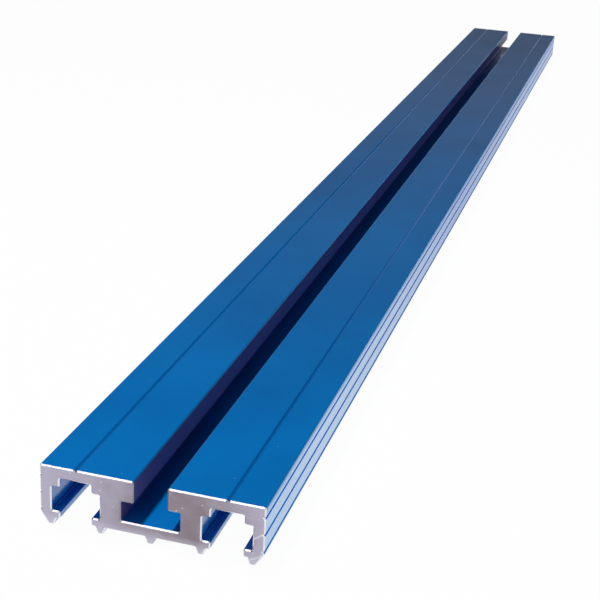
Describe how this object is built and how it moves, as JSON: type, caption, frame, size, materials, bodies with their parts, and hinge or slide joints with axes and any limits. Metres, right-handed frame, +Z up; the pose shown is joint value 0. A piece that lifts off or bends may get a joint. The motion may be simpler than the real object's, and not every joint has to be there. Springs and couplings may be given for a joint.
{
  "type": "aluminium t-slot extrusion profile",
  "caption": "Flat anodised aluminium extrusion with a T-slot along its top, T-slots along its underside, drill lines, grooved sides and small ribs to stand on.",
  "frame": {"origin": "under the middle of the profile, on the plane of the rib tips that it stands on", "axes": "+X across the section, +Y along the length, +Z up, towards the face with the single T-slot"},
  "size_m": [0.0508, 0.6096, 0.0143],
  "materials": {
    "anodised_aluminium": "satin"
  },
  "bodies": {
    "root": {"extruded_profile": "anodised_aluminium"}
  },
  "joints": []
}
